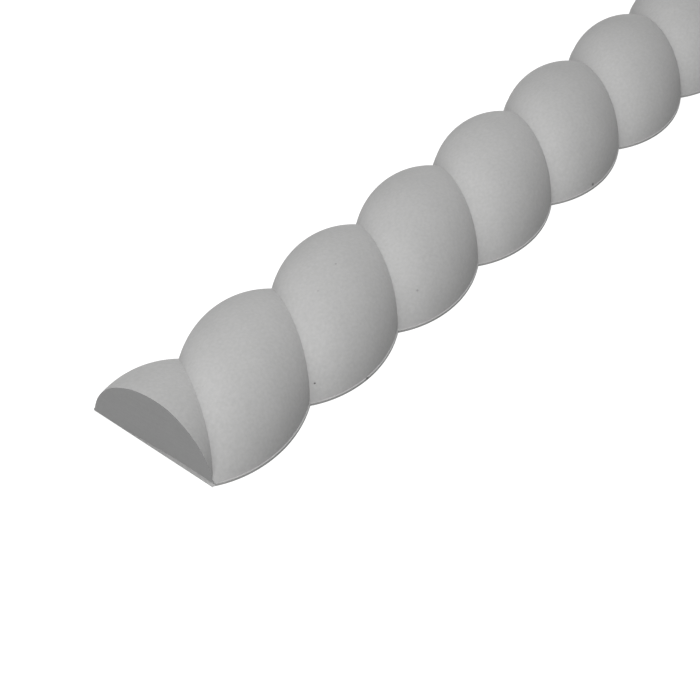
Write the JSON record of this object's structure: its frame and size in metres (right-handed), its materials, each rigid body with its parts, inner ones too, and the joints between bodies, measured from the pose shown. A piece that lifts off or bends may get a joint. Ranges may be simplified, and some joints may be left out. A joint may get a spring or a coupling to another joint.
{
  "type": "rope moulding",
  "caption": "Straight stock length of cast rope moulding with a left-hand twist, a flat back, a thin lip along both back edges and square-sawn ends.",
  "frame": {"origin": "middle of the flat back, on the surface that it lies on", "axes": "+X along the moulding from the end that the picture shows, +Y across it, +Z out of its face"},
  "size_m": [1.2192, 0.0379, 0.0139],
  "materials": {
    "cast_resin": "matte, as cast, unpainted grey"
  },
  "bodies": {
    "root": {"rope_moulding": "cast_resin"}
  },
  "joints": []
}
